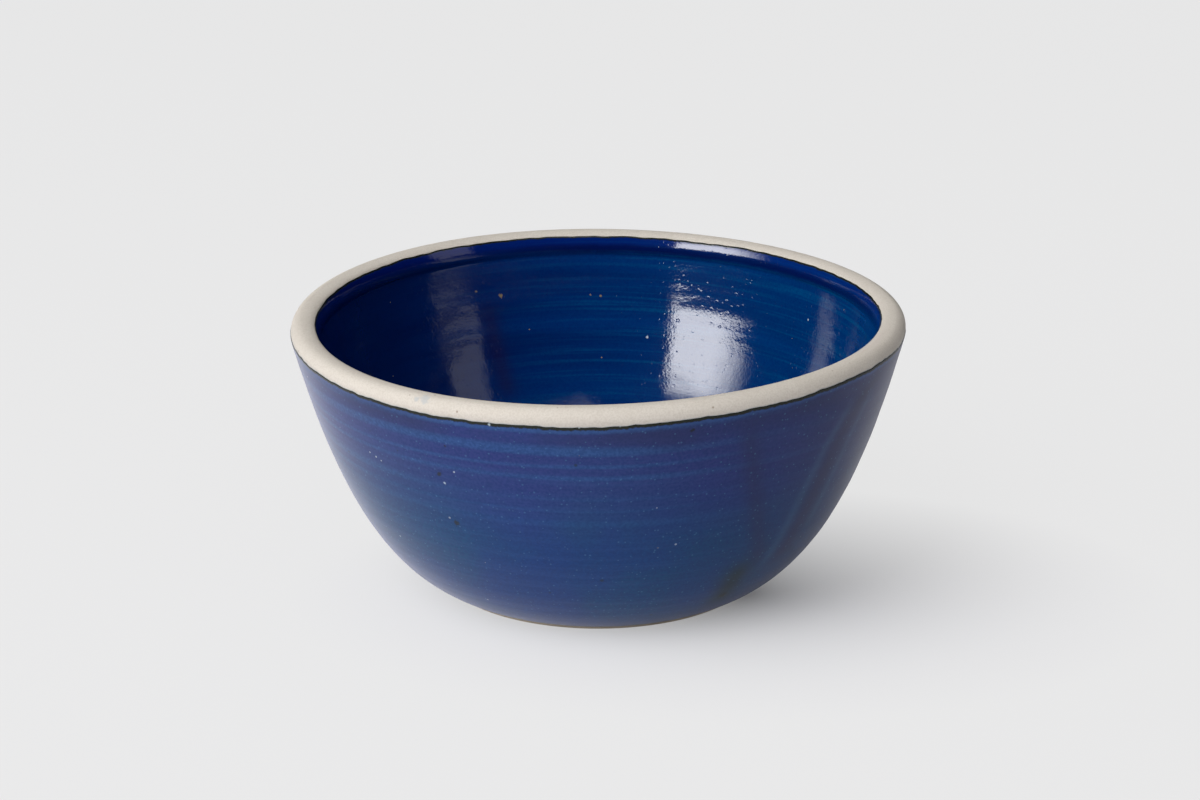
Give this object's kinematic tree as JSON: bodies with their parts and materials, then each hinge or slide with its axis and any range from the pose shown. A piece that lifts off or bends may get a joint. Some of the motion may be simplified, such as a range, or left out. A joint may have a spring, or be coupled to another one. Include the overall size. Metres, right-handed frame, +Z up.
{
  "type": "ceramic bowl",
  "caption": "Hand-thrown stoneware bowl with a flared round wall, bare rounded clay lip, trimmed foot ring, glossy inner glaze and satin outer glaze, for serving food.",
  "frame": {"origin": "centre of the circle that the foot ring stands on, at table level", "axes": "+Z up along the bowl's turning axis; -Y faces the picture's camera and +X is to its right"},
  "size_m": [0.15, 0.15, 0.0687],
  "materials": {
    "bare_clay": "matte",
    "gloss_cobalt_glaze": "gloss",
    "satin_cobalt_glaze": "satin"
  },
  "bodies": {
    "root": {"clay_body": "bare_clay", "inner_glaze": "gloss_cobalt_glaze", "outer_glaze": "satin_cobalt_glaze"}
  },
  "joints": []
}
